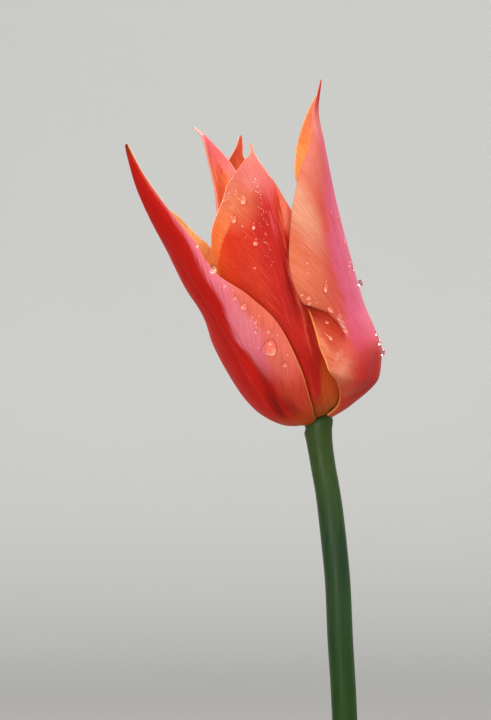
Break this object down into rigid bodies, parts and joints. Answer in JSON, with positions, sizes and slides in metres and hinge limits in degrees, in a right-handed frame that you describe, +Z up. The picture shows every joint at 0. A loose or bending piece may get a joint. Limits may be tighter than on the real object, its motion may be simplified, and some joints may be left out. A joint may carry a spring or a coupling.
{
  "type": "tulip in a vase",
  "caption": "Cut lily-flowered tulip with long pointed orange-red petals, leaning in a plain clear glass bud vase of water, with clasping leaves.",
  "frame": {"origin": "centre of the vase's flat underside", "axes": "+Z up along the vase's axis; -Y towards the front of the bloom; the bloom leans towards -X"},
  "size_m": [0.1546, 0.0679, 0.322],
  "materials": {
    "glass": "gloss",
    "water": "gloss",
    "stem": "satin",
    "leaf": "satin",
    "pistil": "satin",
    "stamen": "matte",
    "petal_outer_left": "satin",
    "petal_outer_right": "satin",
    "petal_outer_back": "satin",
    "petal_inner_front": "satin",
    "petal_inner_left": "satin",
    "petal_inner_back": "satin"
  },
  "bodies": {
    "root": {"vase": "glass", "water": "water", "stem": "stem", "pistil": "pistil", "petal_outer_left": "petal_outer_left", "petal_outer_right": "petal_outer_right", "petal_outer_back": "petal_outer_back", "petal_inner_front": "petal_inner_front", "petal_inner_left": "petal_inner_left", "petal_inner_back": "petal_inner_back", "stamen_1": "stamen", "stamen_2": "stamen", "stamen_3": "stamen", "stamen_4": "stamen", "stamen_5": "stamen", "stamen_6": "stamen", "leaf_lower": "leaf", "leaf_upper": "leaf"}
  },
  "joints": []
}
